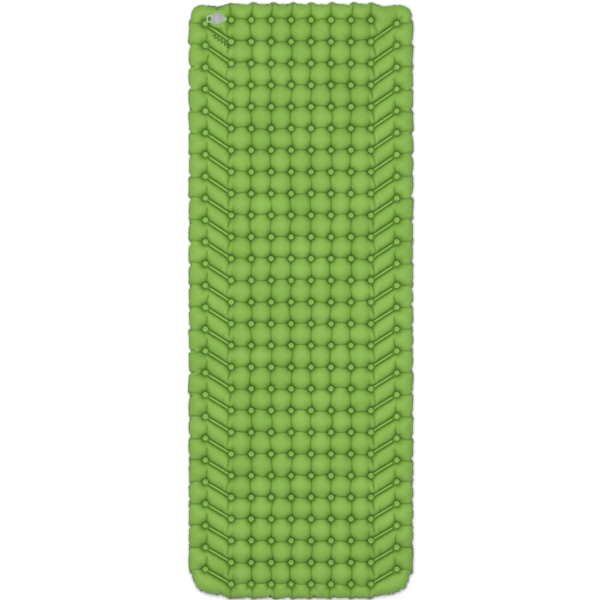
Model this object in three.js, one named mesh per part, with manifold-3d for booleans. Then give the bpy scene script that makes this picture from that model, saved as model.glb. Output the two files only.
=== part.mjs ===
// Inflatable sleeping pad, inflated and lying on its bottom sheet.
//
// Two coated fabric sheets are fused along a perimeter seam and at a grid of round weld
// dots, with slanted weld bars along both sides, and a flat two-stage air valve is set in
// one head-end corner. Units are millimetres: +X is across the pad, +Y runs along it to
// the head end and +Z is up. The origin is on the ground under the middle of the pad.
import * as THREE from 'three';
import { mergeVertices } from 'three/addons/utils/BufferGeometryUtils.js';
import Module from 'manifold-3d';

const wasm = await Module();
wasm.setup();

// ---- driving dimensions of the pad -------------------------------------------------
const THICKNESS = 64; // over the crests of the air cells
const MID = THICKNESS / 2; // height of the seam and of every weld
const HALF_WIDTH = 350; // middle of the pad to the seam, where a side crease meets it
const HALF_LENGTH = 946; // middle of the pad to the seam at either end
const SEAM = 6; // width of the fused edge
const SCALLOP = 3; // how far the edge bulges between two creases
const WALL = 0.8; // sheet thickness
const GAP = 0.3; // clearance kept wherever two pieces touch

const ROWS = 27;
const COLUMNS = 8;
const ROW_PITCH = 69.4;
const COLUMN_PITCH = 63.8;
const FIRST_ROW_Y = 898;
const OUTER_X = 306.3; // the outer dot column, where the slanted bars end
const OUTER_PITCH = 69.8;
const OUTER_FIRST_Y = 886.5;
const HEAD_CORNER = 54; // radius of the two head-end corners
const FOOT_CORNER = 88; // radius of the two foot-end corners
const CORNER_STEPS = 5;

// Height of the sheet's surface above the welds.
const CREST = MID - GAP / 2 - WALL;
const ROW_SADDLE = 17; // between two dots of a row
const COLUMN_SADDLE = 19; // between two dots of a column
const EDGE_SADDLE = 13; // along the crease from a dot to the seam

// ---- driving dimensions of the valve, measured from the top of the fabric ----------
const VALVE = { x: -267, y: 899, z: 54 };
const PLATEAU_R = 26; // flat patch of fabric round the valve
const FLANGE = { r: 24, top: -WALL - GAP, thickness: 1 };
const COLLAR = { bore: 15.5, r: 18.5, top: 4, bottom: -4.5 };
const PLATE = { bottom: COLLAR.top + GAP, thickness: 2, r: 18.3 };
PLATE.top = PLATE.bottom + PLATE.thickness;
const LOBE = { end: -34.6, halfWidth: 10.6, corner: 3 }; // finger end of the plate
const PULL_WINDOW = { from: -29.4, to: -20.2, halfWidth: 6.7, corner: 2 };
const PLUG_HINGE_X = 17.4;
const HINGE_GAP = 0.2; // from a hinge line to the edge of either piece
const TETHER = { root: 10, end: 30.4, halfWidth: 6.2, eyelet: 2.4, post: 2, postX: 23.4 };
const BARREL = { top: 15.2, bottom: 13.4, bore: 10.6, end: -3.7 };
const SEAT = { thickness: 1.7, port: 9.2, hub: 2.8, spoke: 1.6 };
const STEM = { r: 1.2, hole: 1.5, head: 3, headThickness: 0.8 };
const FLAP = { r: 11.3, thickness: 0.6, travel: 1.2 };
const CAP = { r: 14.5, thickness: 1.8, bung: 10.2, bungEnd: 9.7, depth: 3, hollow: 7.6 };
CAP.bottom = PLATE.top + GAP;
CAP.top = CAP.bottom + CAP.thickness;
const CAP_TAB = { end: -18, halfWidth: 4, thickness: 0.9 };
const CAP_HINGE_Y = 15;
const CAP_TETHER = { end: 17.6, halfWidth: 5 };
const ROUND = 28; // segments in a full circle of the valve

// ---- materials ---------------------------------------------------------------------
function material(colour, roughness) {
  return new THREE.MeshStandardMaterial({ color: colour, roughness, metalness: 0 });
}
const topFabric = material(0x7fae4d, 0.75);
const bottomFabric = material(0x5f6a57, 0.8);
const paleRubber = material(0xb5c2aa, 0.5);
const greyRubber = material(0xaeabb4, 0.5);
const silicone = material(0xd8dcd8, 0.35);

// ---- solids ------------------------------------------------------------------------
function solidFrom(geometry) {
  const plain = geometry.clone();
  plain.deleteAttribute('normal');
  plain.deleteAttribute('uv');
  const merged = mergeVertices(plain, 1e-4);
  return new wasm.Manifold(new wasm.Mesh({
    numProp: 3,
    vertProperties: merged.attributes.position.array,
    triVerts: new Uint32Array(merged.index.array),
  }));
}

function geometryFrom(solid) {
  const mesh = solid.getMesh();
  const geometry = new THREE.BufferGeometry();
  geometry.setAttribute('position', new THREE.BufferAttribute(mesh.vertProperties, 3));
  geometry.setIndex(new THREE.BufferAttribute(mesh.triVerts, 1));
  geometry.computeVertexNormals();
  return geometry;
}

// A solid of revolution about Z from [radius, height] points that go round anticlockwise.
function turned(points) {
  const closed = [...points];
  const onAxis = points[0][0] === 0 && points[points.length - 1][0] === 0;
  if (!onAxis) closed.push(points[0]);
  const profile = closed.map(([r, z]) => new THREE.Vector2(r, z));
  return solidFrom(new THREE.LatheGeometry(profile, ROUND).rotateX(Math.PI / 2));
}

function cylinder(radius, bottom, top, x = 0, y = 0) {
  const points = [[0, bottom], [radius, bottom], [radius, top], [0, top]];
  return turned(points).translate([x, y, 0]);
}

function slab(shape, bottom, thickness) {
  const settings = { depth: thickness, bevelEnabled: false, curveSegments: 6 };
  const geometry = new THREE.ExtrudeGeometry(shape, settings).translate(0, 0, bottom);
  return solidFrom(geometry);
}

function roundedRectangle(path, x0, y0, x1, y1, r) {
  path.moveTo(x0 + r, y0);
  path.lineTo(x1 - r, y0);
  path.absarc(x1 - r, y0 + r, r, -Math.PI / 2, 0);
  path.lineTo(x1, y1 - r);
  path.absarc(x1 - r, y1 - r, r, 0, Math.PI / 2);
  path.lineTo(x0 + r, y1);
  path.absarc(x0 + r, y1 - r, r, Math.PI / 2, Math.PI);
  path.lineTo(x0, y0 + r);
  path.absarc(x0 + r, y0 + r, r, Math.PI, 1.5 * Math.PI);
  return path;
}

// ---- the plan of the welds ---------------------------------------------------------
// A station is a point where cell boundaries meet: a weld dot, or a point on the seam.
const columnX = (c) => (c - (COLUMNS + 1) / 2) * COLUMN_PITCH;
const rowY = (r) => FIRST_ROW_Y - (r - 1) * ROW_PITCH;
const outerY = (k) => OUTER_FIRST_Y - (k - 1) * OUTER_PITCH;
const station = (name, x, y, seam = false) => ({ name, x, y, seam });

const dots = [];
for (let c = 1; c <= COLUMNS; c++) {
  dots[c] = [];
  for (let r = 1; r <= ROWS; r++) {
    dots[c][r] = station(`dot ${c} ${r}`, columnX(c), rowY(r));
  }
}
const sides = [-1, 1].map((side) => {
  const outer = [];
  const edge = [];
  for (let k = 1; k < ROWS; k++) {
    outer[k] = station(`outer ${side} ${k}`, side * OUTER_X, outerY(k));
    edge[k] = station(`edge ${side} ${k}`, side * HALF_WIDTH, outerY(k), true);
  }
  return { side, outer, edge, inner: side < 0 ? dots[1] : dots[COLUMNS] };
});
const [left, right] = sides;
const head = dots.map((column, c) => station(`head ${c}`, columnX(c), HALF_LENGTH, true));
const foot = dots.map((column, c) => station(`foot ${c}`, columnX(c), -HALF_LENGTH, true));

// Seam points round one corner, from angle a0 to a1 in degrees.
function cornerArc(name, sideX, endY, radius, a0, a1) {
  const cx = sideX * (HALF_WIDTH - radius);
  const cy = endY * (HALF_LENGTH - radius);
  return Array.from({ length: CORNER_STEPS }, (unused, i) => {
    const a = THREE.MathUtils.degToRad(a0 + ((a1 - a0) * i) / (CORNER_STEPS - 1));
    return station(`${name} ${i}`, cx + radius * Math.cos(a), cy + radius * Math.sin(a), true);
  });
}
const footRight = cornerArc('foot right', 1, -1, FOOT_CORNER, -90, 0);
const headRight = cornerArc('head right', 1, 1, HEAD_CORNER, 0, 90);
const headLeft = cornerArc('head left', -1, 1, HEAD_CORNER, 90, 180);
const footLeft = cornerArc('foot left', -1, -1, FOOT_CORNER, 180, 270);

// The seam, anticlockwise from above.
const upTheSide = right.edge.slice(1).reverse();
const downTheSide = left.edge.slice(1);
const seamLoop = [
  ...foot.slice(1), ...footRight, ...upTheSide, ...headRight,
  ...head.slice(1).reverse(), ...headLeft, ...downTheSide, ...footLeft,
];

// Air cells, each an anticlockwise loop of stations.
const cells = [];
for (let c = 1; c < COLUMNS; c++) {
  cells.push({ loop: [dots[c][1], dots[c + 1][1], head[c + 1], head[c]] });
  cells.push({ loop: [foot[c], foot[c + 1], dots[c + 1][ROWS], dots[c][ROWS]] });
  for (let r = 1; r < ROWS; r++) {
    cells.push({ loop: [dots[c][r + 1], dots[c + 1][r + 1], dots[c + 1][r], dots[c][r]] });
  }
}
for (const { side, outer, edge, inner } of sides) {
  for (let k = 1; k < ROWS - 1; k++) {
    const slanted = [outer[k + 1], inner[k + 2], inner[k + 1], outer[k]];
    const margin = [edge[k + 1], outer[k + 1], outer[k], edge[k]];
    for (const loop of [slanted, margin]) {
      cells.push({ loop: side < 0 ? loop : loop.reverse() });
    }
  }
}
const leftDots = left.inner;
const rightDots = right.inner;
const last = ROWS - 1;
cells.push({
  loop: [...footLeft, foot[1], leftDots[ROWS], left.outer[last], left.edge[last]],
});
cells.push({
  loop: [foot[COLUMNS], ...footRight, right.edge[last], right.outer[last], rightDots[ROWS]],
});
cells.push({
  loop: [right.edge[1], ...headRight, head[COLUMNS], rightDots[1], rightDots[2], right.outer[1]],
});
cells.push({
  loop: [head[1], ...headLeft, left.edge[1], left.outer[1], leftDots[2], leftDots[1]],
  valve: true,
});

// ---- one quilted sheet -------------------------------------------------------------
const isOuter = (s) => s.name.startsWith('outer');
const sameRow = (a, b) => Math.abs(a.y - b.y) < 1;

// Height of the sheet halfway between two neighbouring stations.
function saddleHeight(a, b) {
  if (a.seam && b.seam) return 0;
  if (a.seam || b.seam) return EDGE_SADDLE;
  if (isOuter(a) !== isOuter(b)) return 0; // a weld bar
  return sameRow(a, b) ? ROW_SADDLE : COLUMN_SADDLE;
}

function midpoint(a, b) {
  const point = { x: (a.x + b.x) / 2, y: (a.y + b.y) / 2 };
  if (a.seam && b.seam) {
    const length = Math.hypot(b.x - a.x, b.y - a.y);
    const bulge = SCALLOP * Math.min(1, length / ROW_PITCH);
    point.x += (bulge * (b.y - a.y)) / length;
    point.y -= (bulge * (b.x - a.x)) / length;
  }
  return point;
}

function centreOf(loop) {
  const sum = loop.reduce((s, p) => ({ x: s.x + p.x, y: s.y + p.y }), { x: 0, y: 0 });
  return { x: sum.x / loop.length, y: sum.y / loop.length };
}

// Triangles between two anticlockwise rings of vertices, always by the shorter diagonal.
function bridge(outerRing, innerRing, positions) {
  const distance = (i, j) => Math.hypot(
    positions[i][0] - positions[j][0], positions[i][1] - positions[j][1],
  );
  let i = 0;
  let j = 0;
  for (let k = 1; k < innerRing.length; k++) {
    if (distance(outerRing[0], innerRing[k]) < distance(outerRing[0], innerRing[j])) j = k;
  }
  const faces = [];
  let outerLeft = outerRing.length;
  let innerLeft = innerRing.length;
  while (outerLeft + innerLeft > 0) {
    const a = outerRing[i % outerRing.length];
    const b = innerRing[j % innerRing.length];
    const nextA = outerRing[(i + 1) % outerRing.length];
    const nextB = innerRing[(j + 1) % innerRing.length];
    const stepOuter = outerLeft > 0 && (innerLeft === 0 || distance(nextA, b) < distance(a, nextB));
    if (stepOuter) {
      faces.push([a, nextA, b]);
      i++;
      outerLeft--;
    } else {
      faces.push([a, nextB, b]);
      j++;
      innerLeft--;
    }
  }
  return faces;
}

// side is +1 for the top sheet and -1 for the bottom one. Heights go away from the welds.
function quiltedSheet(side) {
  const positions = [];
  const named = new Map();
  const add = (x, y, height) => positions.push([x, y, MID + side * (GAP / 2 + height)]) - 1;
  const vertex = (name, x, y, height) => {
    if (!named.has(name)) named.set(name, add(x, y, height));
    return named.get(name);
  };

  // One face of the cloth. Its lift is its height at a weld.
  const layer = (lift) => {
    const at = (s) => vertex(`${s.name} ${lift}`, s.x, s.y, lift);
    const between = (a, b) => {
      const m = midpoint(a, b);
      const name = `${[a.name, b.name].sort().join(' to ')} ${lift}`;
      return vertex(name, m.x, m.y, lift + saddleHeight(a, b));
    };
    const cellFaces = ({ loop, valve }) => {
      const next = (k) => loop[(k + 1) % loop.length];
      const found = [];
      if (valve && side > 0) {
        const rim = loop.flatMap((s, k) => [at(s), between(s, next(k))]);
        const ring = Array.from({ length: ROUND / 2 }, (unused, i) => {
          const a = (4 * Math.PI * i) / ROUND;
          const x = VALVE.x + PLATEAU_R * Math.cos(a);
          const y = VALVE.y + PLATEAU_R * Math.sin(a);
          return add(x, y, lift + VALVE.z - MID - GAP / 2 - WALL);
        });
        found.push(...bridge(rim, ring, positions));
        for (let k = 1; k < ring.length - 1; k++) found.push([ring[0], ring[k], ring[k + 1]]);
        return found;
      }
      // Each station's corner of the cell rises to a flat crest.
      const centre = valve ? VALVE : centreOf(loop);
      const crest = loop.map((s) => {
        const share = s.seam ? 0.62 : 0.5;
        const x = centre.x + (s.x - centre.x) * share;
        const y = centre.y + (s.y - centre.y) * share;
        return add(x, y, lift + CREST);
      });
      loop.forEach((s, k) => {
        const m = between(s, next(k));
        const c = crest[k];
        const d = crest[(k + 1) % crest.length];
        found.push([at(s), m, c], [m, d, c], [m, at(next(k)), d]);
      });
      for (let k = 1; k < crest.length - 1; k++) found.push([crest[0], crest[k], crest[k + 1]]);
      return found;
    };
    return { at, between, faces: cells.flatMap(cellFaces) };
  };
  const outside = layer(WALL);
  const inside = layer(0);
  const faces = [...outside.faces, ...inside.faces.map(([a, b, c]) => [a, c, b])];

  // The fused edge, a flat band outside the seam.
  const band = seamLoop.flatMap((s, k) => {
    const after = seamLoop[(k + 1) % seamLoop.length];
    return [
      { ...s, out: outside.at(s), in: inside.at(s) },
      { ...midpoint(s, after), out: outside.between(s, after), in: inside.between(s, after) },
    ];
  });
  band.forEach((p, k) => {
    const before = band[(k + band.length - 1) % band.length];
    const after = band[(k + 1) % band.length];
    const length = Math.hypot(after.x - before.x, after.y - before.y);
    const x = p.x + (SEAM * (after.y - before.y)) / length;
    const y = p.y - (SEAM * (after.x - before.x)) / length;
    p.outEdge = add(x, y, WALL);
    p.inEdge = add(x, y, 0);
  });
  band.forEach((p, k) => {
    const q = band[(k + 1) % band.length];
    for (const [a, b, c, d] of [
      [p.outEdge, q.outEdge, q.out, p.out],
      [p.inEdge, q.inEdge, q.outEdge, p.outEdge],
      [p.in, q.in, q.inEdge, p.inEdge],
    ]) faces.push([a, b, c], [a, c, d]);
  });

  const wound = side > 0 ? faces : faces.map(([a, b, c]) => [a, c, b]);
  const geometry = new THREE.BufferGeometry();
  geometry.setAttribute('position', new THREE.Float32BufferAttribute(positions.flat(), 3));
  geometry.setIndex(wound.flat());
  return solidFrom(geometry);
}

function topSheet() {
  const hole = cylinder(COLLAR.r + GAP, -2 * WALL, WALL);
  return geometryFrom(quiltedSheet(1).subtract(hole.translate([VALVE.x, VALVE.y, VALVE.z])));
}

// ---- the valve ---------------------------------------------------------------------
// Weld flange under the fabric, with the collar that stands through it and the tether's post.
function valveBase() {
  const body = turned([
    [COLLAR.bore, COLLAR.bottom], [COLLAR.bore + 1.5, COLLAR.bottom],
    [COLLAR.r, FLANGE.top - FLANGE.thickness], [FLANGE.r, FLANGE.top - FLANGE.thickness],
    [FLANGE.r, FLANGE.top], [COLLAR.r, FLANGE.top], [COLLAR.r, COLLAR.top],
    [COLLAR.bore, COLLAR.top],
  ]);
  const arm = new THREE.Shape();
  roundedRectangle(arm, COLLAR.r - 1, -TETHER.halfWidth + 1, TETHER.end - 1, TETHER.halfWidth - 1, 3);
  const armThickness = 1.8;
  const post = cylinder(TETHER.post, COLLAR.top - 1, PLATE.top + 0.4, TETHER.postX);
  return geometryFrom(body.add(slab(arm, COLLAR.top - armThickness, armThickness)).add(post));
}

// Eye-shaped plate from above: a disc drawn out to the finger end and cut off at the hinge,
// where the tapered tether carries the outline on.
function plateShape() {
  const fingerEnd = THREE.MathUtils.degToRad(52);
  const hingeEnd = THREE.MathUtils.degToRad(46);
  const edge = PLUG_HINGE_X - HINGE_GAP;
  const shape = new THREE.Shape();
  shape.moveTo(edge, -TETHER.root);
  shape.lineTo(edge, TETHER.root);
  shape.absarc(0, 0, PLATE.r, hingeEnd, Math.PI - fingerEnd);
  shape.lineTo(LOBE.end + LOBE.corner, LOBE.halfWidth);
  shape.quadraticCurveTo(LOBE.end, LOBE.halfWidth, LOBE.end, LOBE.halfWidth - LOBE.corner);
  shape.lineTo(LOBE.end, LOBE.corner - LOBE.halfWidth);
  shape.quadraticCurveTo(LOBE.end, -LOBE.halfWidth, LOBE.end + LOBE.corner, -LOBE.halfWidth);
  shape.absarc(0, 0, PLATE.r, Math.PI + fingerEnd, 2 * Math.PI - hingeEnd);
  const { from, to, halfWidth, corner } = PULL_WINDOW;
  shape.holes.push(roundedRectangle(new THREE.Path(), from, -halfWidth, to, halfWidth, corner));
  return shape;
}

// Release plug: plate, tapered barrel, and the spoked seat that the flap closes on.
function releasePlug() {
  const barrel = turned([
    [0, BARREL.end], [BARREL.bottom, BARREL.end],
    [BARREL.top, PLATE.bottom + 0.5], [0, PLATE.bottom + 0.5],
  ]);
  const bore = cylinder(BARREL.bore, BARREL.end + SEAT.thickness, PLATE.top + 1);
  const port = cylinder(SEAT.port, BARREL.end - 1, BARREL.end + SEAT.thickness + 1);
  let web = cylinder(SEAT.hub, BARREL.end, BARREL.end + SEAT.thickness);
  for (const turn of [0, 90]) {
    const spoke = new THREE.Shape();
    const reach = SEAT.port + 1;
    roundedRectangle(spoke, -reach, -SEAT.spoke / 2, reach, SEAT.spoke / 2, SEAT.spoke / 4);
    web = web.add(slab(spoke, BARREL.end, SEAT.thickness).rotate([0, 0, turn]));
  }
  const stemHole = cylinder(STEM.hole, BARREL.end - 1, BARREL.end + SEAT.thickness + 1);
  const body = slab(plateShape(), PLATE.bottom, PLATE.thickness).add(barrel);
  return geometryFrom(body.subtract(bore).subtract(port).add(web).subtract(stemHole));
}

// Strap end that loops over the base's post, up to the plug's hinge line.
function plugTether() {
  const { root, end, halfWidth, eyelet, postX } = TETHER;
  const start = PLUG_HINGE_X + HINGE_GAP;
  const shape = new THREE.Shape();
  shape.moveTo(start, -root);
  shape.lineTo(end - halfWidth, -halfWidth);
  shape.absarc(end - halfWidth, 0, halfWidth, -Math.PI / 2, Math.PI / 2);
  shape.lineTo(start, root);
  shape.holes.push(new THREE.Path().absarc(postX, 0, eyelet, 0, 2 * Math.PI));
  return geometryFrom(slab(shape, PLATE.bottom, PLATE.thickness));
}

const flapTop = BARREL.end - GAP;
const stemEnd = flapTop - FLAP.thickness - FLAP.travel - GAP;

function checkFlap() {
  const { r, thickness } = FLAP;
  return geometryFrom(turned([
    [STEM.hole, flapTop - thickness], [r, flapTop - thickness],
    [r, flapTop], [STEM.hole, flapTop],
  ]));
}

// Rivet through the seat's hub that the flap hangs on.
function flapPin() {
  const top = BARREL.end + SEAT.thickness + GAP;
  const { r, head: headR, headThickness } = STEM;
  return geometryFrom(turned([
    [0, stemEnd - headThickness], [headR - 0.4, stemEnd - headThickness], [headR, stemEnd],
    [r, stemEnd], [r, top], [headR - 0.6, top], [headR - 0.9, top + headThickness],
    [0, top + headThickness],
  ]));
}

// Cap with a hollow tapered bung, and a pull tab on the side away from its hinge.
function inflateCap() {
  const body = turned([
    [0, CAP.bottom], [CAP.hollow, CAP.bottom], [CAP.hollow, CAP.bottom - CAP.depth],
    [CAP.bungEnd, CAP.bottom - CAP.depth], [CAP.bung, CAP.bottom], [CAP.r, CAP.bottom],
    [CAP.r, CAP.top - 0.6], [CAP.r - 0.8, CAP.top], [0, CAP.top],
  ]);
  const tab = new THREE.Shape();
  roundedRectangle(tab, -CAP_TAB.halfWidth, CAP_TAB.end, CAP_TAB.halfWidth, -CAP.r + 4, 2);
  const root = new THREE.Shape();
  const edge = CAP_HINGE_Y - HINGE_GAP;
  roundedRectangle(root, -CAP_TETHER.halfWidth, CAP.r - 4, CAP_TETHER.halfWidth, edge, 0.3);
  const lip = slab(tab, CAP.top - CAP_TAB.thickness, CAP_TAB.thickness);
  return geometryFrom(body.add(lip).add(slab(root, CAP.bottom, CAP.thickness)));
}

// Foot of the cap's strap, on the plate beyond the cap's hinge line.
function capTether() {
  const shape = new THREE.Shape();
  const start = CAP_HINGE_Y + HINGE_GAP;
  const { halfWidth, end } = CAP_TETHER;
  roundedRectangle(shape, -halfWidth, start, halfWidth, end, 0.5);
  return geometryFrom(slab(shape, CAP.bottom, CAP.thickness));
}

// ---- assembly ----------------------------------------------------------------------
function piece(name, geometry, look) {
  const mesh = new THREE.Mesh(geometry, look);
  mesh.name = name;
  return mesh;
}

const pad = new THREE.Group();
pad.add(piece('top_sheet', topSheet(), topFabric));
pad.add(piece('bottom_sheet', geometryFrom(quiltedSheet(-1)), bottomFabric));

const valve = new THREE.Group();
valve.position.set(VALVE.x, VALVE.y, VALVE.z);
valve.add(piece('valve_base', valveBase(), paleRubber));
valve.add(piece('plug_tether', plugTether(), paleRubber));
valve.add(piece('release_plug', releasePlug(), paleRubber));
valve.add(piece('cap_tether', capTether(), greyRubber));
valve.add(piece('inflate_cap', inflateCap(), greyRubber));
valve.add(piece('check_flap', checkFlap(), silicone));
valve.add(piece('flap_pin', flapPin(), greyRubber));
pad.add(valve);

export default pad;
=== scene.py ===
import math

import bmesh
import bpy
import numpy as np
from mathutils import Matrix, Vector


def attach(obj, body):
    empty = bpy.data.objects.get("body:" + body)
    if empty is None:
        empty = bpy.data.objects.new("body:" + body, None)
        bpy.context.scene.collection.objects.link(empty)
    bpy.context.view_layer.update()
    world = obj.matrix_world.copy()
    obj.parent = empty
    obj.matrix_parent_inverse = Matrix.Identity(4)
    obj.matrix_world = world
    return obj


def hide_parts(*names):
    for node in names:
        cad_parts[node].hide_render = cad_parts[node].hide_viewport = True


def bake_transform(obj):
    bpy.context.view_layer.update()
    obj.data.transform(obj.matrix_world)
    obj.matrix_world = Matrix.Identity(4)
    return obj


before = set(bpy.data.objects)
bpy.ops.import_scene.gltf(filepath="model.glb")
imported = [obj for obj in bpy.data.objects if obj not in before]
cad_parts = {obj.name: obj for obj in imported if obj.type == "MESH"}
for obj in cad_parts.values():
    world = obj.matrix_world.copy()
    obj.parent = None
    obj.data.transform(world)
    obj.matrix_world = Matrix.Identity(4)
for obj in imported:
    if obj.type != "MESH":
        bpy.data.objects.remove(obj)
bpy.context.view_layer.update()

# ---- the pad's plan, in metres, as in the CAD --------------------------------------
MID = 0.032
HALF_WIDTH, HALF_LENGTH = 0.350, 0.946
ROWS, COLUMNS = 27, 8
ROW_PITCH, COLUMN_PITCH = 0.0694, 0.0638
FIRST_ROW_Y = 0.898
OUTER_X, OUTER_PITCH, OUTER_FIRST_Y = 0.3063, 0.0698, 0.8865
HEAD_CORNER, FOOT_CORNER = 0.054, 0.088
VALVE = Vector((-0.267, 0.899, 0.054))
COLLAR_R = 0.0185
PLATEAU_R = 0.0295
PLATEAU_LIFT = 0.0009  # keeps the cloth clear of the flange welded under it

DOT_R = 0.0085
BAR_HALF = 0.0044
BAR_FROM, BAR_TO = 0.20, 0.84
SEAM = 0.0055

# ---- how the cloth is inflated -----------------------------------------------------
COARSE = 14  # grid steps between two dot columns, for which the solver's numbers were set
PER_COLUMN, PER_ROW = ((18, 20))
STEPS = 260
SWEEPS = 4
SLACK = 1.17  # cloth length over flat length in the main cells
RIM_SLACK = 1.10
EDGE_SLACK = 0.34  # more cloth in the middle of an edge cell, so that it bulges over the seam
SLANT_SLACK = 1.085  # in the slanted cells between the weld bars
CREASE_SLACK = 1.04  # and less where a crease runs out to the seam
ROW_TAUT = 0.075  # less slack along the line between two dots
COLUMN_TAUT = (0.070, 0.020)  # every other column line is drawn tighter
TAUT_WIDTH = 0.005
BOW, TWIST, KINK = 0.0036, 0.0022, 0.0012  # how far creases stray sideways between two dots
END_SLACK, END_BULGE, CORNER_SLACK = 1.115, 0.045, 1.08
END_RIM_SLACK, CORNER_RIM_SLACK = 1.04, 1.12
EDGE_SHARPNESS = 0.7
MAIN_X, SLANT_X, SLANT_BLEND = 0.226, 0.223, 0.035  # where the main cells end and slanted ones begin
END_X, STRAY_X = 0.25, 0.24  # how far out the end cells and the straying creases reach
FOOT_Y = -0.87
NEAR_END_Y, CORNER_X, CORNER_Y = 0.93, 0.26, 0.85
MIN_GAP = 0.0002  # between the bottom cloth and the floor
STRETCH, SQUEEZE = 1.0, 0.35
SHEAR_STRETCH, SHEAR_SQUEEZE = 0.55, 0.15
BEND = 0.5
PRESSURE = 2.5
DAMPING = 0.96
NOISE = 0.002
PRESS, PRESS_STEPS, FOLDED = 0.0062, 24, 0.12
DOT_CLEARING, BAR_CLEARING, VALVE_CLEARING = 0.011, 0.009, 0.035
PUCKER, PUCKER_R, PUCKER_REACH = 0.0013, 0.014, 0.007
STRAY_REACH = 0.015
WRINKLE, WRINKLE_BLUR = 0.0007, 5


def grid_lines():
    """Columns and rows of the cloth grid, with a line through every main weld dot."""
    c0 = (COLUMNS - 1) / 2 * COLUMN_PITCH
    step = COLUMN_PITCH / PER_COLUMN
    middle = np.linspace(-c0, c0, (COLUMNS - 1) * PER_COLUMN + 1)
    inner = np.linspace(c0, OUTER_X, round((OUTER_X - c0) / step) + 1)[1:]
    outer = np.linspace(OUTER_X, HALF_WIDTH, round((HALF_WIDTH - OUTER_X) / step) + 1)[1:]
    side = np.concatenate((inner, outer))
    xs = np.concatenate((-side[::-1], middle, side))
    last = FIRST_ROW_Y - (ROWS - 1) * ROW_PITCH
    step = ROW_PITCH / PER_ROW
    foot = np.linspace(-HALF_LENGTH, last, round((last + HALF_LENGTH) / step) + 1)[:-1]
    body = np.linspace(last, FIRST_ROW_Y, (ROWS - 1) * PER_ROW + 1)
    head = np.linspace(FIRST_ROW_Y, HALF_LENGTH, round((HALF_LENGTH - FIRST_ROW_Y) / step) + 1)[1:]
    return xs, np.concatenate((foot, body, head))


def round_corners(x, y):
    """Draws the square corners of the grid in to the pad's round ones."""
    for sy, radius in ((1, HEAD_CORNER), (-1, FOOT_CORNER)):
        cx, cy = HALF_WIDTH - radius, HALF_LENGTH - radius
        u = np.clip((np.abs(x) - cx) / radius, 0, 1)
        v = np.clip((sy * y - cy) / radius, 0, 1)
        inside = (u > 0) & (v > 0)
        nx = np.sign(x) * (cx + u * np.sqrt(1 - v * v / 2) * radius)
        ny = sy * (cy + v * np.sqrt(1 - u * u / 2) * radius)
        x[inside], y[inside] = nx[inside], ny[inside]


def weld_plan():
    """Centres of the weld dots, and both ends of each weld bar."""
    columns = [(c - (COLUMNS - 1) / 2) * COLUMN_PITCH for c in range(COLUMNS)]
    rows = [FIRST_ROW_Y - r * ROW_PITCH for r in range(ROWS)]
    dots = [(x, y) for y in rows for x in columns]
    bars = []
    for side in (-1, 1):
        for k in range(ROWS - 1):
            outer = np.array((side * OUTER_X, OUTER_FIRST_Y - k * OUTER_PITCH))
            inner = np.array((side * columns[-1], rows[k + 1]))
            dots.append(tuple(outer))
            bars.append((outer + (inner - outer) * BAR_FROM, outer + (inner - outer) * BAR_TO))
    return dots, bars


def weld(x, y, step, dots, bars):
    """Moves grid points onto the outlines of the welds and says which are welded."""
    welded = np.zeros(x.shape, bool)
    for a, b in bars:
        length = math.dist(a, b)
        tx, ty = (b - a) / length
        along = (x - a[0]) * tx + (y - a[1]) * ty
        across = -(x - a[0]) * ty + (y - a[1]) * tx
        near = (along > -step / 2) & (along < length + step / 2) & (np.abs(across) < BAR_HALF + 0.4 * step)
        edge = np.abs(across) > BAR_HALF - 0.5 * step
        shift = np.where(edge, np.sign(across) * BAR_HALF - across, 0)
        x[near] -= (shift * ty)[near]
        y[near] += (shift * tx)[near]
        welded |= near
    for cx, cy in dots:
        d = np.hypot(x - cx, y - cy)
        near = (np.abs(d - DOT_R) < step / 2) & ~welded
        scale = DOT_R / np.maximum(d, 1e-6)
        x[near] = (cx + (x - cx) * scale)[near]
        y[near] = (cy + (y - cy) * scale)[near]
        welded |= np.hypot(x - cx, y - cy) < DOT_R * 1.02
    return welded


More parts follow.
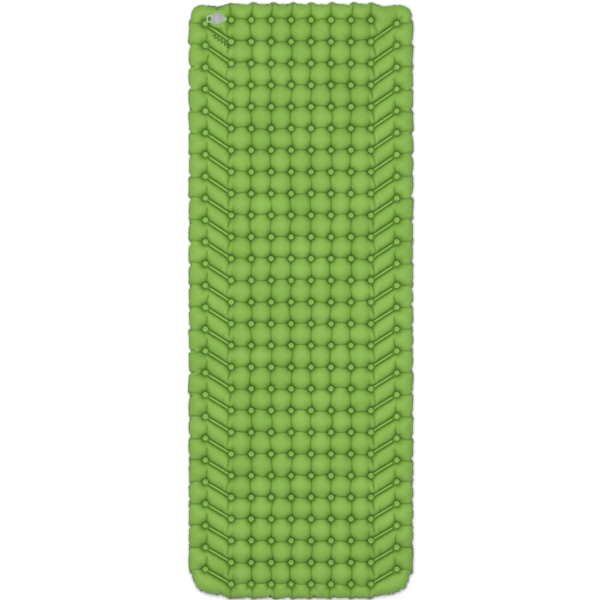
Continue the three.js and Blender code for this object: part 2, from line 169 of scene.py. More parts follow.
def inflate():
    """Blows up both sheets at once. Returns points [axis, sheet, row, column].

    Heights are above the welds, so the second sheet is the bottom one seen upside down.
    Cloth is a net of threads that hardly stretch, pinned at the welds and pushed out
    along its normals. The seam stays at the height of the welds.
    """
    rng = np.random.default_rng(4)
    xs, ys = grid_lines()
    x, y = np.meshgrid(xs, ys)
    round_corners(x, y)
    dots, bars = weld_plan()
    welded = weld(x, y, COLUMN_PITCH / PER_COLUMN, dots, bars)
    h, w = x.shape
    rim = np.zeros((h, w), bool)
    rim[[0, -1]] = True
    rim[:, [0, -1]] = True
    pos = np.zeros((3, 2, h, w), np.float32)
    pos[0], pos[1] = x, y
    pos[2] = 0.0005 + 0.0006 * rng.random((2, h, w))
    pos[2][:, rim | welded] = 0
    moving = np.repeat(~welded[None], 2, axis=0).astype(np.float32)
    valve = np.hypot(x - VALVE.x, y - VALVE.y) < PLATEAU_R
    rest_scale = 1 + NOISE * rng.standard_normal((2, h, w)).astype(np.float32)
    full = slice(None)
    threads = []

    # How far between two creases an edge cell's cloth lies, from 0 at a crease to 1.
    phase = np.abs(np.sin(np.pi * (OUTER_FIRST_Y - y) / OUTER_PITCH)) ** EDGE_SHARPNESS
    side_cell = CREASE_SLACK + EDGE_SLACK * phase
    last_row = FIRST_ROW_Y - (ROWS - 1) * ROW_PITCH
    past_outer = (np.abs(x) > OUTER_X) & (y < OUTER_FIRST_Y + 0.01) & (y > FOOT_Y)
    past_rows = ((y > FIRST_ROW_Y) | (y < last_row)) & (np.abs(x) < END_X)
    slant = np.clip((np.abs(x) - SLANT_X) / SLANT_BLEND, 0, 1) * (np.abs(x) < OUTER_X + 0.001)
    main = SLACK + (SLANT_SLACK - SLACK) * slant
    foot_corner = (y < last_row) & (np.abs(x) > END_X) | (y < FOOT_Y) & (np.abs(x) > OUTER_X)
    slack_x = np.where(past_outer, side_cell, np.where(foot_corner, CORNER_SLACK, main))
    phase = np.abs(np.cos(np.pi * x / COLUMN_PITCH)) ** EDGE_SHARPNESS
    end_cell = END_SLACK + END_BULGE * phase
    slack_y = np.where(past_rows, end_cell, np.where(foot_corner, CORNER_SLACK, main))
    # Less cloth along the paths between dots keeps a crease on each of them.
    column = np.clip(np.round(x / COLUMN_PITCH + (COLUMNS - 1) / 2), 0, COLUMNS - 1).astype(int)
    row = np.clip(np.round((FIRST_ROW_Y - y) / ROW_PITCH), 0, ROWS - 1).astype(int)
    cell_x = np.clip(x / COLUMN_PITCH + (COLUMNS - 1) / 2, 0, COLUMNS - 1)
    cell_y = np.clip((FIRST_ROW_Y - y) / ROW_PITCH, 0, ROWS - 1)

    def stray(line, cell):
        """Sideways shift of the crease on each line, and how tight it is drawn."""
        bow, twist, kink = rng.uniform(-1, 1, (3, ROWS + 1, ROWS + 1))
        tight = rng.uniform(0.5, 1.4, (ROWS + 1, ROWS + 1))
        here = (line, np.floor(cell).astype(int))
        t = cell % 1
        waves = ((BOW, bow, 1), (TWIST, twist, 2), (KINK, kink, 5))
        shift = sum(size * share[here] * np.sin(turns * np.pi * t) for size, share, turns in waves)
        return shift, tight[here]

    shift, tight = stray(column, cell_y)
    off = x - (column - (COLUMNS - 1) / 2) * COLUMN_PITCH - shift
    taut = np.where(column % 2 == 1, *COLUMN_TAUT) * (column > 0) * (column < COLUMNS - 1)
    in_rows = (y < FIRST_ROW_Y) & (y > last_row)
    slack_y = slack_y - taut * tight * in_rows * np.exp(-((off / TAUT_WIDTH) ** 2))
    stray_x = shift * in_rows * (np.abs(x) < STRAY_X) * np.exp(-(((off + shift) / STRAY_REACH) ** 2))
    shift, tight = stray(row, cell_x)
    off = FIRST_ROW_Y - row * ROW_PITCH - y - shift
    in_columns = np.abs(x) < MAIN_X
    slack_x = slack_x - ROW_TAUT * tight * in_columns * np.exp(-((off / TAUT_WIDTH) ** 2))
    stray_y = -shift * in_columns * np.exp(-(((off + shift) / STRAY_REACH) ** 2))
    slack_both = (slack_x + slack_y) / 2
    rim_slack = np.where(np.abs(y) > NEAR_END_Y, END_RIM_SLACK, RIM_SLACK)
    at_corner = (np.abs(x) > CORNER_X) & (np.abs(y) > CORNER_Y)
    rim_slack = np.where(at_corner, CORNER_RIM_SLACK, rim_slack)

    def family(first, second, stretch, squeeze, slack):
        a, b = (full, full) + first, (full, full) + second
        gap = pos[:2][a] - pos[:2][b]
        length = np.hypot(gap[0], gap[1]) * rest_scale[(full,) + first]
        length *= np.where(rim[first] & rim[second], rim_slack[first], slack[first])
        wa, wb = moving[(full,) + first], moving[(full,) + second]
        total = np.maximum(wa + wb, 1e-6)
        threads.append((a, b, length.astype(np.float32), wa / total, wb / total,
                        np.float32(stretch), np.float32(squeeze)))

    for start in (0, 1):
        along, beyond = slice(start, w - 1, 2), slice(start + 1, w, 2)
        family((full, along), (full, beyond), STRETCH, SQUEEZE, slack_x)
        along, beyond = slice(start, h - 1, 2), slice(start + 1, h, 2)
        family((along, full), (beyond, full), STRETCH, SQUEEZE, slack_y)
        for low, high in ((slice(0, w - 1), slice(1, w)), (slice(1, w), slice(0, w - 1))):
            family((along, low), (beyond, high), SHEAR_STRETCH, SHEAR_SQUEEZE, slack_both)
    for start in range(4):
        family((full, slice(start, w - 2, 4)), (full, slice(start + 2, w, 4)), 0, BEND, slack_x)
        family((slice(start, h - 2, 4), full), (slice(start + 2, h, 4), full), 0, BEND, slack_y)

    scale = (COLUMN_PITCH / COARSE) ** 2 / (COLUMN_PITCH / PER_COLUMN) ** 2
    velocity = np.zeros_like(pos)
    for step in range(STEPS):
        dv, du = np.gradient(pos, axis=(2, 3))
        normal = np.cross(du, dv, axis=0) * 4
        velocity += normal * (PRESSURE * scale * min(1.0, (step + 10) / 60))
        velocity *= DAMPING
        before = pos.copy()
        pos += velocity * moving
        for sweep in range(SWEEPS):
            for ia, ib, length, wa, wb, stretch, squeeze in threads:
                a, b = pos[ia], pos[ib]
                d = b - a
                far = np.sqrt(d[0] * d[0] + d[1] * d[1] + d[2] * d[2]) + 1e-9
                over = (far - length) / far
                over *= np.where(over > 0, stretch, squeeze)
                d *= over
                a += d * wa
                b -= d * wb
            pos[2][:, rim] = 0
            np.maximum(pos[2], 0, out=pos[2])
            np.minimum(pos[2, 1], MID - MIN_GAP, out=pos[2, 1])
            # The valve's flange holds its disc of fabric flat.
            pos[0, 0][valve], pos[1, 0][valve] = x[valve], y[valve]
            pos[2, 0][valve] = min(VALVE.z - MID + PLATEAU_LIFT, pos[2, 0][valve].mean() + 0.002)
        velocity = (pos - before) * moving
    inside = moving * ~rim * (np.hypot(x - VALVE.x, y - VALVE.y) > 2 * PLATEAU_R)
    pos[0] += stray_x * inside
    pos[1] += stray_y * inside
    pos = press_together(pos, moving, rim, valve, dots, bars)
    return pucker(pos, moving, rim, valve, dots, rng), dots, bars


def blurred(grid, passes):
    """The grid averaged with its neighbours, passes times."""
    for turn in range(passes):
        padded = np.pad(grid, 1, mode="edge")
        grid = (padded[:-2, 1:-1] + padded[2:, 1:-1] + padded[1:-1, :-2] + padded[1:-1, 2:]) / 4
    return grid


def from_dots(x, y, dots):
    """Distance from every grid point to the middle of the nearest weld dot."""
    near = np.full(x.shape, 1.0)
    for cx, cy in dots:
        np.minimum(near, np.hypot(x - cx, y - cy), out=near)
    return near


def from_bars(x, y, bars):
    """Distance from every grid point to the middle line of the nearest weld bar."""
    near = np.full(x.shape, 1.0)
    for a, b in bars:
        length = math.dist(a, b)
        tx, ty = (b - a) / length
        along = np.clip((x - a[0]) * tx + (y - a[1]) * ty, 0, length)
        np.minimum(near, np.hypot(x - a[0] - along * tx, y - a[1] - along * ty), out=near)
    return near


def pucker(pos, moving, rim, valve, dots, rng):
    """Small folds that run out from each weld dot, and faint wrinkles everywhere."""
    for cx, cy in dots:
        dx, dy = pos[0] - cx, pos[1] - cy
        away = np.hypot(dx, dy)
        folds, start, deep = rng.integers(7, 10), rng.uniform(0, 6.28), rng.uniform(0.5, 1.0)
        near = np.clip((away - DOT_R) / 0.004, 0, 1) * np.exp(-(((away - PUCKER_R) / PUCKER_REACH) ** 2))
        fold = PUCKER * deep * near * np.cos(folds * np.arctan2(dy, dx) + start)
        pos[2] += fold * moving * ~rim
    for k in range(2):
        wrinkles = blurred(rng.standard_normal(rim.shape), WRINKLE_BLUR)
        free = np.clip((from_dots(pos[0, k], pos[1, k], dots) - DOT_R) / 0.008, 0, 1)
        pos[2, k] += WRINKLE * wrinkles / wrinkles.std() * moving[k] * ~rim * free
    pos[2, 0][valve] = pos[2, 0][valve].mean()
    pos[2] = np.maximum(pos[2], 0)
    pos[2, 1] = np.minimum(pos[2, 1], MID - MIN_GAP)
    return pos


def press_together(pos, moving, rim, valve, dots, bars):
    """Grows the cells along their normals, so that neighbours meet in narrow creases.

    A point stops growing once the cloth beside it is nearly folded shut.
    """
    moving = moving.copy()
    moving[:, rim] = 0
    moving[0][valve] = 0
    moving *= np.clip((from_dots(pos[0], pos[1], dots) - DOT_R) / DOT_CLEARING, 0.1, 1)
    moving *= np.clip((from_bars(pos[0], pos[1], bars) - BAR_HALF) / BAR_CLEARING, 0.1, 1)
    # Lower cells round the valve leave room for the opened cap.
    from_valve = np.hypot(pos[0, 0] - VALVE.x, pos[1, 0] - VALVE.y)
    moving[0] *= np.clip((from_valve - PLATEAU_R) / VALVE_CLEARING, 0, 1)
    dv0, du0 = np.gradient(pos, axis=(2, 3))
    free_u, free_v = np.linalg.norm(du0, axis=0), np.linalg.norm(dv0, axis=0)
    for step in range(PRESS_STEPS):
        dv, du = np.gradient(pos, axis=(2, 3))
        normal = np.cross(du, dv, axis=0)
        normal /= np.linalg.norm(normal, axis=0) + 1e-12
        room = np.minimum(np.linalg.norm(du, axis=0) / free_u, np.linalg.norm(dv, axis=0) / free_v)
        share = np.clip((room - FOLDED) / (1 - FOLDED), 0, 1) ** 0.5
        pos = pos + normal * (PRESS / PRESS_STEPS * moving * share)
        pos[2, 1] = np.minimum(pos[2, 1], MID - MIN_GAP)
        pos[2] = np.maximum(pos[2], 0)
    return pos


# ---- small mesh helpers ------------------------------------------------------------
def new_object(name, verts, faces, smooth=True):
    mesh = bpy.data.meshes.new(name)
    mesh.from_pydata([tuple(v) for v in verts], [], [tuple(f) for f in faces])
    mesh.validate()
    mesh.update()
    obj = bpy.data.objects.new(name, mesh)
    bpy.context.collection.objects.link(obj)
    if smooth:
        mesh.shade_smooth()
    return obj


def finish_piece(obj, material, body="pad"):
    obj.data.materials.clear()
    obj.data.materials.append(material)
    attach(obj, body)
    return obj


# ---- materials ---------------------------------------------------------------------
class Nodes:
    """A node material that is built one short line at a time."""

    def __init__(self, name, roughness=0.6, **shader):
        self.material = bpy.data.materials.new(name)
        self.material.use_nodes = True
        self.tree = self.material.node_tree
        self.shader = self.tree.nodes["Principled BSDF"]
        self.shader.inputs["Roughness"].default_value = roughness
        for key, value in shader.items():
            self.shader.inputs[key.replace("_", " ")].default_value = value
        self.place = self.node("ShaderNodeTexCoord").outputs["Object"]

    def node(self, kind, inputs=None, **settings):
        n = self.tree.nodes.new(kind)
        for key, value in settings.items():
            setattr(n, key, value)
        for key, value in (inputs or {}).items():
            if isinstance(value, bpy.types.NodeSocket):
                self.tree.links.new(value, n.inputs[key])
            else:
                n.inputs[key].default_value = value
        return n

    def math(self, operation, *values):
        inputs = dict(enumerate(values))
        return self.node("ShaderNodeMath", inputs, operation=operation).outputs[0]

    def noise(self, scale, detail=3, place=None):
        inputs = {"Vector": place or self.place, "Scale": scale, "Detail": detail}
        return self.node("ShaderNodeTexNoise", inputs).outputs["Fac"]

    def ramp(self, value, *stops):
        n = self.node("ShaderNodeValToRGB", {"Fac": value})
        elements = n.color_ramp.elements
        while len(elements) < len(stops):
            elements.new(0.5)
        for element, (at, colour) in zip(elements, stops):
            element.position = at
            element.color = (*colour, 1)
        return n.outputs["Color"]

    def mix(self, factor, a, b):
        n = self.node("ShaderNodeMix", data_type="RGBA")
        for key, value in ((0, factor), (6, a), (7, b)):
            if isinstance(value, bpy.types.NodeSocket):
                self.tree.links.new(value, n.inputs[key])
            else:
                n.inputs[key].default_value = (*value, 1) if key else value
        return n.outputs[2]

    def colour(self, socket):
        self.tree.links.new(socket, self.shader.inputs["Base Color"])

    def rough(self, socket):
        self.tree.links.new(socket, self.shader.inputs["Roughness"])

    def bump(self, height, strength, distance):
        n = self.node("ShaderNodeBump", {"Height": height, "Strength": strength, "Distance": distance})
        self.tree.links.new(n.outputs["Normal"], self.shader.inputs["Normal"])

    def stripe(self, coordinate, pitch, width):
        """1 on a thin line every pitch metres, otherwise 0."""
        cycle = self.math("FRACT", self.math("DIVIDE", coordinate, pitch))
        return self.math("LESS_THAN", cycle, width)


def woven(name, dark, light, roughness, **shader):
    """Plain coated weave with a faint ripstop grid, slightly uneven in tone."""
    m = Nodes(name, roughness, **shader)
    xyz = m.node("ShaderNodeSeparateXYZ", {"Vector": m.place})
    x, y = xyz.outputs["X"], xyz.outputs["Y"]
    tone = m.math("ADD", m.math("MULTIPLY", m.noise(9, 4), 0.7), m.math("MULTIPLY", m.noise(160, 2), 0.3))
    fabric = m.ramp(tone, (0.3, dark), (0.7, light))
    warp = m.math("SINE", m.math("MULTIPLY", x, 2 * math.pi / 0.0007))
    weft = m.math("SINE", m.math("MULTIPLY", y, 2 * math.pi / 0.0007))
    weave = m.math("MULTIPLY", warp, weft)
    grid = m.math("MAXIMUM", m.stripe(x, 0.005, 0.12), m.stripe(y, 0.005, 0.12))
    height = m.math("ADD", m.math("MULTIPLY", weave, 0.5), m.math("MULTIPLY", grid, 0.8))
    m.bump(height, 0.22, 0.0002)
    m.rough(m.math("ADD", m.math("MULTIPLY", m.noise(40, 3), 0.16), roughness - 0.08))
    return m, fabric, grid, x, y


PRINT = {"x": -0.2555, "y": 0.8295, "turn": math.radians(-34.5), "length": 0.062,
         "ridge": 0.0124, "rise": 1.5, "line": 0.0034}


def top_fabric():
    m, fabric, grid, x, y = woven("green_fabric", (0.178, 0.345, 0.052), (0.226, 0.415, 0.072), 0.62,
                                  Sheen_Weight=0.04, Sheen_Roughness=0.4, Specular_IOR_Level=0.18)
    ribbed = m.mix(m.math("MULTIPLY", grid, 0.10), fabric, (0.12, 0.25, 0.035))
    # A plain zigzag mark, printed on the slant between two weld bars.
    mark = PRINT
    dx = m.math("SUBTRACT", x, mark["x"])
    dy = m.math("SUBTRACT", y, mark["y"])
    c, s = math.cos(mark["turn"]), math.sin(mark["turn"])
    u = m.math("ADD", m.math("MULTIPLY", dx, c), m.math("MULTIPLY", dy, s))
    v = m.math("SUBTRACT", m.math("MULTIPLY", dy, c), m.math("MULTIPLY", dx, s))
    zig = m.math("MULTIPLY", m.math("PINGPONG", m.math("ADD", u, 1.0), mark["ridge"] / 2), mark["rise"])
    middle = m.math("SUBTRACT", zig, mark["rise"] * mark["ridge"] / 4)
    off = m.math("ABSOLUTE", m.math("SUBTRACT", v, middle))
    on_line = m.math("LESS_THAN", off, mark["line"])
    in_box = m.math("LESS_THAN", m.math("ABSOLUTE", u), mark["length"] / 2)
    ink = m.math("MULTIPLY", on_line, in_box)
    printed = m.mix(m.math("MULTIPLY", ink, 0.85), ribbed, (0.03, 0.085, 0.018))
    # The crease attribute mixes painted shade into the green, towards a near-black green in creases, round
    # the welds and under the valve's window.
    crease = m.node("ShaderNodeAttribute", attribute_name="crease").outputs["Fac"]
    m.colour(m.mix(m.math("MULTIPLY", crease, 0.80), printed, (0.038, 0.135, 0.001)))
    return m.material


def plain_fabric(name, dark, light, roughness=0.7):
    m, fabric, grid, x, y = woven(name, dark, light, roughness, Sheen_Weight=0.15, Sheen_Roughness=0.5)
    m.colour(m.mix(m.math("MULTIPLY", grid, 0.2), fabric, dark))
    return m.material


def film(name, dark, light, roughness=0.42):
    """Fused fabric: the weave pressed flat, a little glossier, with a fine hatch."""
    m = Nodes(name, roughness, Specular_IOR_Level=0.25)
    m.colour(m.ramp(m.noise(400, 3), (0.3, dark), (0.7, light)))
    xyz = m.node("ShaderNodeSeparateXYZ", {"Vector": m.place})
    lines = [m.math("SINE", m.math("MULTIPLY", xyz.outputs[k], 2 * math.pi / 0.0011)) for k in "XY"]
    m.bump(m.math("MULTIPLY", *lines), 0.25, 0.0002)
    m.rough(m.math("ADD", m.math("MULTIPLY", m.noise(300), 0.2), roughness - 0.1))
    return m.material


def moulded(name, dark, light, roughness, grain=900, **shader):
    """Satin moulded rubber with a fine grain and faint handling marks."""
    m = Nodes(name, roughness, **shader)
    m.colour(m.ramp(m.noise(55, 4), (0.3, dark), (0.72, light)))
    m.bump(m.noise(grain, 2), 0.12, 0.0001)
    m.rough(m.math("ADD", m.math("MULTIPLY", m.noise(120, 3), 0.25), roughness - 0.12))
    return m.material


# ---- camera, floor and light -------------------------------------------------------
PHOTO_SPAN = 1.920  # metres across the square frame
CAMERA_DISTANCE = 8.0
scene = bpy.context.scene
camera = bpy.data.objects.new("camera", bpy.data.cameras.new("camera"))
bpy.context.collection.objects.link(camera)
camera.location = (-0.0034, 0.0024, CAMERA_DISTANCE + MID)
camera.data.sensor_width = 36
camera.data.lens = 36 * CAMERA_DISTANCE / PHOTO_SPAN
camera.data.clip_end = 100
scene.camera = camera

floor = new_object("floor", [(-9, -9, 0), (9, -9, 0), (9, 9, 0), (-9, 9, 0)], [(0, 1, 2, 3)])
floor.location.z = -0.0005
backdrop = Nodes("studio_floor", 0.9)
backdrop.colour(backdrop.ramp(backdrop.noise(3), (0.3, (0.93, 0.93, 0.93)), (0.7, (0.95, 0.95, 0.95))))
floor.data.materials.append(backdrop.material)


def area_light(name, place, aim, size, watts, colour=(1, 1, 1)):
    data = bpy.data.lights.new(name, "AREA")
    data.shape, data.size, data.energy, data.color = "DISK", size, watts, colour
    light = bpy.data.objects.new(name, data)
    bpy.context.collection.objects.link(light)
    light.location = place
    light.rotation_mode = "QUATERNION"
    light.rotation_quaternion = (Vector(aim) - Vector(place)).to_track_quat("-Z", "Y")


area_light("overhead", (0.0, 0.15, 4.8), (0, 0, 0), 2.0, 215)
area_light("fill", (-2.2, 2.6, 3.8), (0, 0, 0), 2.4, 38)
world = bpy.data.worlds.new("studio")
scene.world = world
world.use_nodes = True
world.node_tree.nodes["Background"].inputs["Color"].default_value = (1, 1, 1, 1)
world.node_tree.nodes["Background"].inputs["Strength"].default_value = 0.26
scene.view_settings.view_transform = "Standard"

# ---- the two quilted sheets --------------------------------------------------------
pos, dots, bars = inflate()
_, _, H, W = pos.shape
GREEN = top_fabric()
UNDER = plain_fabric("under_fabric", (0.125, 0.180, 0.075), (0.165, 0.230, 0.105))
EDGE = plain_fabric("seam_fabric", (0.105, 0.150, 0.045), (0.165, 0.215, 0.085), 0.6)
DOT_FILM = film("weld_film", (0.185, 0.365, 0.050), (0.225, 0.420, 0.070), 0.55)
UNDER_FILM = film("under_film", (0.13, 0.19, 0.08), (0.18, 0.25, 0.12))


def painted_crease_shade(k):
    """0 on a crest and 1 deep in a narrow crease: painted shade, darker in creases and hollows and round
    the weld dots and bars.
    """
    z = pos[2, k].astype(float)
    finer = (PER_COLUMN / COARSE) ** 2
    sharp = np.clip((blurred(z, round(8 * finer)) - z) / 0.0035, 0, 1)
    broad = np.clip((blurred(z, round(70 * finer)) - z) / 0.014, 0, 1)
    x, y = pos[:2, k]
    dot_rim_shade = np.exp(-((np.maximum(from_dots(x, y, dots) - DOT_R, 0) / 0.0120) ** 2))
    beside = np.exp(-((np.maximum(from_bars(x, y, bars) - BAR_HALF, 0) / 0.0045) ** 2))
    # Painted shade: sharp creases, broad hollows, rings round the weld dots and strips beside the bars are
    # darkened.
    painted_shade = sharp * (0.72 - 0.42 * dot_rim_shade) + 0.22 * broad + 0.34 * dot_rim_shade + 0.25 * beside
    if k == 0:
        # What shows through the valve's window lies in the valve's own shade.
        under_window = (np.abs(x - VALVE.x + 0.0248) < 0.0085) * (np.abs(y - VALVE.y) < 0.0095)
        painted_shade += 0.9 * under_window
    return np.clip(painted_shade, 0, 1)


def sheet(name, k, up, material, node, hole=None):
    x, y, z = pos[:, k].reshape(3, -1).astype(float)
    height = MID + up * (z + 0.0002)
    index = np.arange(H * W).reshape(H, W)
    quads = np.stack((index[:-1, :-1], index[:-1, 1:], index[1:, 1:], index[1:, :-1]), -1).reshape(-1, 4)
    if up < 0:
        quads = quads[:, ::-1]
    if hole:
        away = np.hypot(x - VALVE.x, y - VALVE.y)
        removed = (away[quads] < hole).any(axis=1)
        border = np.intersect1d(quads[removed], quads[~removed])
        quads = quads[~removed]
        x[border] = VALVE.x + (x[border] - VALVE.x) * hole / away[border]
        y[border] = VALVE.y + (y[border] - VALVE.y) * hole / away[border]
    used = np.unique(quads)
    new = np.full(len(x), -1)
    new[used] = np.arange(len(used))
    obj = new_object(name, np.stack((x, y, height), -1)[used], new[quads])
    # Each point's painted shade, from its creases, hollows and welds, is stored in the crease attribute.
    painted_shade = obj.data.attributes.new("crease", "FLOAT", "POINT")
    painted_shade.data.foreach_set("value", painted_crease_shade(k).reshape(-1)[used].astype(np.float32))
    smooth = obj.modifiers.new("subdivide", "SUBSURF")
    smooth.levels = smooth.render_levels = 1
    finish_piece(obj, material)
    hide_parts(node)
    return obj


sheet("quilted_top", 0, 1, GREEN, "top_sheet", hole=COLLAR_R + 0.0003)
sheet("quilted_bottom", 1, -1, UNDER, "bottom_sheet")


def seam_loop():
    """The seam's points in order, anticlockwise from above."""
    lines = [pos[:, 0, 0, :-1], pos[:, 0, :-1, -1], pos[:, 0, -1, :0:-1], pos[:, 0, :0:-1, 0]]
    return np.concatenate(lines, axis=1)[:2].T.astype(float)


def seam_band():
    """The fused edge outside the seam: a thin wavy strip, crimped by the weld."""
    rng = np.random.default_rng(9)
    loop = seam_loop()
    n = len(loop)
    tangent = np.roll(loop, -6, 0) - np.roll(loop, 6, 0)
    tangent /= np.linalg.norm(tangent, axis=1)[:, None]
    outward = np.stack((tangent[:, 1], -tangent[:, 0]), -1)
    wave = np.zeros(n)
    for turns, size in ((61, 0.0008), (97, 0.0006), (173, 0.0004)):
        wave += size * np.sin(2 * np.pi * turns * np.arange(n) / n + rng.uniform(0, 6.28))
    width = SEAM * (1 + 0.16 * np.sin(2 * np.pi * 83 * np.arange(n) / n))
    rings = []
    for share, half in ((-0.75, 0.0004), (0.0, 0.0007), (0.35, 0.00035), (0.7, 0.0004), (1.0, 0.0003)):
        xy = loop + outward * (width * share)[:, None]
        z = MID + wave * max(0.0, share) ** 1.3
        rings.append((xy, z + half))
        rings.append((xy, z - half))
    order = [0, 2, 4, 6, 8, 9, 7, 5, 3, 1]
    verts = [(*xy[i], z[i]) for xy, z in (rings[k] for k in order) for i in range(n)]
    m = len(order)
    faces = [(r * n + i, r * n + (i + 1) % n, (r + 1) % m * n + (i + 1) % n, (r + 1) % m * n + i)
             for r in range(m) for i in range(n)]
    obj = new_object("seam_band", verts, [f[::-1] for f in faces])
    finish_piece(obj, EDGE)


seam_band()


# ---- the weld dots and bars, pressed film with a raised rim ------------------------
DOT_PROFILE = ((0.0, -0.0002), (0.0014, -0.0001), (0.0024, 0.0003), (0.0036, 0.0006), (0.0056, 0.0008),
               (0.0066, 0.0012), (0.0076, 0.0013), (0.0084, 0.0007), (0.0090, -0.0018))
DOT_SEGMENTS = 24
DOT_LIFT, BAR_LIFT = 0.0016, 0.0008
BAR_END = 7  # points round each end of a bar
BAR_PROFILE = ((0.0043, -0.0006), (0.0037, 0.0020), (0.0026, 0.0036), (0.0009, 0.0041))


def weld_dots(name, up, material):
    verts, faces = [], []
    rng = np.random.default_rng(11)
    for cx, cy in dots:
        start = len(verts)
        size = rng.uniform(0.95, 1.05)
        verts.append((cx, cy, MID + up * (DOT_LIFT + DOT_PROFILE[0][1])))
        for r, z in DOT_PROFILE[1:]:
            for k in range(DOT_SEGMENTS):
                a = 2 * math.pi * k / DOT_SEGMENTS
                px, py = cx + size * r * math.cos(a), cy + size * r * math.sin(a)
                verts.append((px, py, MID + up * (DOT_LIFT + z)))
        for k in range(DOT_SEGMENTS):
            j = (k + 1) % DOT_SEGMENTS
            faces.append((start, start + 1 + k, start + 1 + j)[::up])
            for ring in range(len(DOT_PROFILE) - 2):
                a = start + 1 + ring * DOT_SEGMENTS
                b = a + DOT_SEGMENTS
                faces.append((a + k, b + k, b + j, a + j)[::up])
    finish_piece(new_object(name, verts, faces), material)


def weld_bars(name, up, material):
    """Each bar is a rounded ridge, drawn as rings that shrink from its outline to a line."""
    verts, faces = [], []
    for a, b in bars:
        start = len(verts)
        tx, ty = (b - a) / math.dist(a, b)
        for half, z in BAR_PROFILE:
            for end, base, turn in ((b, 0, -90), (a, 0, 90)):
                for k in range(BAR_END):
                    t = math.radians(turn + 30 * k)
                    ox, oy = half * math.cos(t), half * math.sin(t)
                    px, py = end[0] + ox * tx - oy * ty, end[1] + ox * ty + oy * tx
                    verts.append((px, py, MID + up * (BAR_LIFT + z)))
        n = 2 * BAR_END
        for ring in range(len(BAR_PROFILE) - 1):
            for k in range(n):
                j = (k + 1) % n
                p, q = start + ring * n, start + (ring + 1) * n
                faces.append((p + k, p + j, q + j, q + k)[::up])
        top = start + (len(BAR_PROFILE) - 1) * n
        faces.append(tuple(range(top, top + n))[::up])
    finish_piece(new_object(name, verts, faces), material)


weld_dots("top_dots", 1, DOT_FILM)
weld_bars("top_bars", 1, DOT_FILM)
weld_dots("bottom_dots", -1, UNDER_FILM)
weld_bars("bottom_bars", -1, UNDER_FILM)

# ---- the valve ---------------------------------------------------------------------
PALE = moulded("pale_rubber", (0.30, 0.45, 0.21), (0.37, 0.53, 0.27), 0.42,
               Subsurface_Weight=0.12, Subsurface_Scale=0.004)
GREY = moulded("grey_rubber", (0.265, 0.26, 0.30), (0.335, 0.325, 0.37), 0.48)
PLATE = moulded("plate_rubber", (0.245, 0.285, 0.225), (0.300, 0.345, 0.280), 0.46)
CLEAR = moulded("flap_silicone", (0.60, 0.65, 0.60), (0.72, 0.76, 0.72), 0.3, Transmission_Weight=0.25)
PIN = moulded("pin_rubber", (0.33, 0.33, 0.37), (0.42, 0.42, 0.46), 0.4)


def local(x, y, z):
    return (VALVE.x + x / 1000, VALVE.y + y / 1000, VALVE.z + z / 1000)


def softened(node, name, material, body, radius=0.00035):
    """The CAD piece with its moulded edges rounded."""
    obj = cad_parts[node].copy()
    obj.data = obj.data.copy()
    obj.name = obj.data.name = name
    for key in list(obj.keys()):
        if key.startswith("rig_"):
            del obj[key]
    obj.parent = None
    bpy.context.collection.objects.link(obj)
    joined = bmesh.new()
    joined.from_mesh(obj.data)
    bmesh.ops.remove_doubles(joined, verts=joined.verts, dist=1e-6)
    flat = math.radians(1)
    bmesh.ops.dissolve_limit(joined, angle_limit=flat, verts=joined.verts, edges=joined.edges)
    joined.to_mesh(obj.data)
    joined.free()
    bevel = obj.modifiers.new("edges", "BEVEL")
    bevel.width, bevel.segments, bevel.angle_limit = radius, 2, math.radians(35)
    bevel.limit_method = "ANGLE"
    obj.data.shade_smooth()
    finish_piece(obj, material, body)
    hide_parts(node)
    return obj


softened("valve_base", "base_moulding", PALE, "pad")
softened("plug_tether", "tether_moulding", PLATE, "pad")
softened("release_plug", "plug_moulding", PLATE, "release_plug")
softened("cap_tether", "strap_foot", GREY, "release_plug")
softened("inflate_cap", "cap_moulding", GREY, "inflate_cap")
for node, material in (("check_flap", CLEAR), ("flap_pin", PIN)):
    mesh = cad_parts[node].data
    mesh.materials.clear()
    mesh.materials.append(material)


def ring(name, body, material, slot, radius, tube, z, segments=64):
    """A raised moulded bead round the valve's axis."""
    verts, faces = [], []
    for i in range(segments):
        a = 2 * math.pi * i / segments
        for k in range(8):
            b = 2 * math.pi * k / 8
            r = radius + tube * math.cos(b)
            verts.append(local(r * math.cos(a), r * math.sin(a), z + tube * math.sin(b)))
            here, then, turned = i * 8, (i + 1) % segments * 8, (k + 1) % 8
            faces.append((here + k, then + k, then + turned, here + turned))
    finish_piece(new_object(name, verts, faces), material, body)


def outline(node, height):
    """Loops of points round the flat faces of a CAD piece at one height over the valve's."""
    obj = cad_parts[node]
    mesh = bmesh.new()
    mesh.from_mesh(obj.data)
    mesh.transform(obj.matrix_world)
    bmesh.ops.remove_doubles(mesh, verts=mesh.verts, dist=1e-6)
    top = {f for f in mesh.faces if f.normal.z > 0.99 and abs(f.calc_center_median().z - height) < 1e-4}
    follow = {}
    for face in top:
        for loop in face.loops:
            if not any(other in top for other in loop.edge.link_faces if other is not face):
                follow[loop.vert.index] = loop.link_loop_next.vert.index
    points = [tuple(v.co) for v in mesh.verts]
    mesh.free()
    loops = []
    while follow:
        at, then = follow.popitem()
        loop = [at]
        while then != at and then in follow:
            loop.append(then)
            then = follow.pop(then)
        loops.append([points[i] for i in loop])
    return sorted(loops, key=len, reverse=True)


PLUG_HINGE_X, HINGE_ROOM = 0.0174, 0.0034
LIP_ROOT = 0.0003  # how deep a lip's foot is sunk


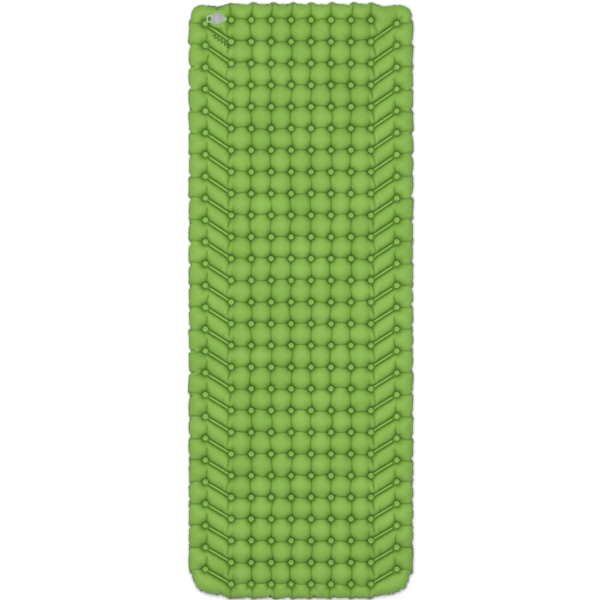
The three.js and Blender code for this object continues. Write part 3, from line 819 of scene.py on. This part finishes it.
def border(name, node, body, height, width=0.0021, rise=0.0005, inset=0.0002):
    """A low raised lip along the outline of a flat moulding."""
    verts, faces = [], []
    for loop in outline(node, height):
        xy = np.array(loop)[:, :2]
        if len(xy) < 3 or np.ptp(xy, axis=0).max() < 0.004:
            continue
        keep = np.linalg.norm(np.roll(xy, -1, 0) - xy, axis=1) > 2e-4
        xy = xy[keep]
        n = len(xy)
        ahead = np.roll(xy, -1, 0) - xy
        ahead /= np.linalg.norm(ahead, axis=1)[:, None]
        along = ahead + np.roll(ahead, 1, 0)
        along /= np.linalg.norm(along, axis=1)[:, None] + 1e-12
        inward = np.stack((-along[:, 1], along[:, 0]), -1)
        start = len(verts)
        # The lip sinks away beside the plug's hinge, so that the two lips don't meet when it opens.
        clear = np.abs(xy[:, 0] - VALVE.x - PLUG_HINGE_X) > HINGE_ROOM
        profile = ((inset, -LIP_ROOT), (inset, 0.6 * rise), (0.4 * width, rise), (width, 0.7 * rise),
                   (width, -LIP_ROOT))
        for off, z in profile:
            for (px, py), up in zip(xy + inward * off, clear):
                verts.append((px, py, height + (z if up else -LIP_ROOT)))
        for r in range(5):
            for i in range(n):
                p, q = start + r * n, start + (r + 1) % 5 * n
                faces.append((p + i, p + (i + 1) % n, q + (i + 1) % n, q + i))
    finish_piece(new_object(name, verts, faces), PALE, body)


def top_of(node):
    """The height at which a CAD piece has the most flat area facing up."""
    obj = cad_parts[node]
    area = {}
    for face in obj.data.polygons:
        if face.normal.z > 0.99:
            z = round((obj.matrix_world @ face.center).z, 4)
            area[z] = area.get(z, 0) + face.area
    return max(area, key=area.get)


border("plug_border", "release_plug", "release_plug", top_of("release_plug"))
border("tether_border", "plug_tether", "pad", top_of("plug_tether"))
ring("cap_bead", "inflate_cap", GREY, "valve_grey", 11.6, 0.45, 8.4)
ring("cap_centre_bead", "inflate_cap", GREY, "valve_grey", 4.2, 0.3, 8.4)


def strap(name, material, half, low, high, start, end, across):
    """The thinned strip of rubber at a living hinge."""
    verts, faces = [], []
    steps = 10
    for i in range(steps + 1):
        t = i / steps
        waist = 1 - 0.12 * math.sin(math.pi * t)
        for side, z in ((-1, high), (1, high), (1, low), (-1, low)):
            point = [0, 0, z]
            point[1 - across] = start + (end - start) * t
            point[across] = side * waist * half
            verts.append(local(*point))
    for i in range(steps):
        for k in range(4):
            a, b = i * 4 + k, i * 4 + (k + 1) % 4
            faces.append((a, b, b + 4, a + 4))
    faces += [(3, 2, 1, 0), tuple(range(steps * 4, steps * 4 + 4))]
    obj = new_object(name, verts, faces, smooth=False)
    mesh = bmesh.new()
    mesh.from_mesh(obj.data)
    bmesh.ops.recalc_face_normals(mesh, faces=mesh.faces)
    mesh.to_mesh(obj.data)
    mesh.free()
    obj.data.materials.append(material)
    first, second = [0, 0, high], [0, 0, high]
    first[1 - across], second[1 - across] = start, end
    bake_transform(obj)


strap("plug_strap", PLATE, 9.0, 6.05, 6.45, 15.6, 19.2, 1)
strap("cap_strap", GREY, 4.4, 8.15, 8.55, 13.6, 16.4, 0)
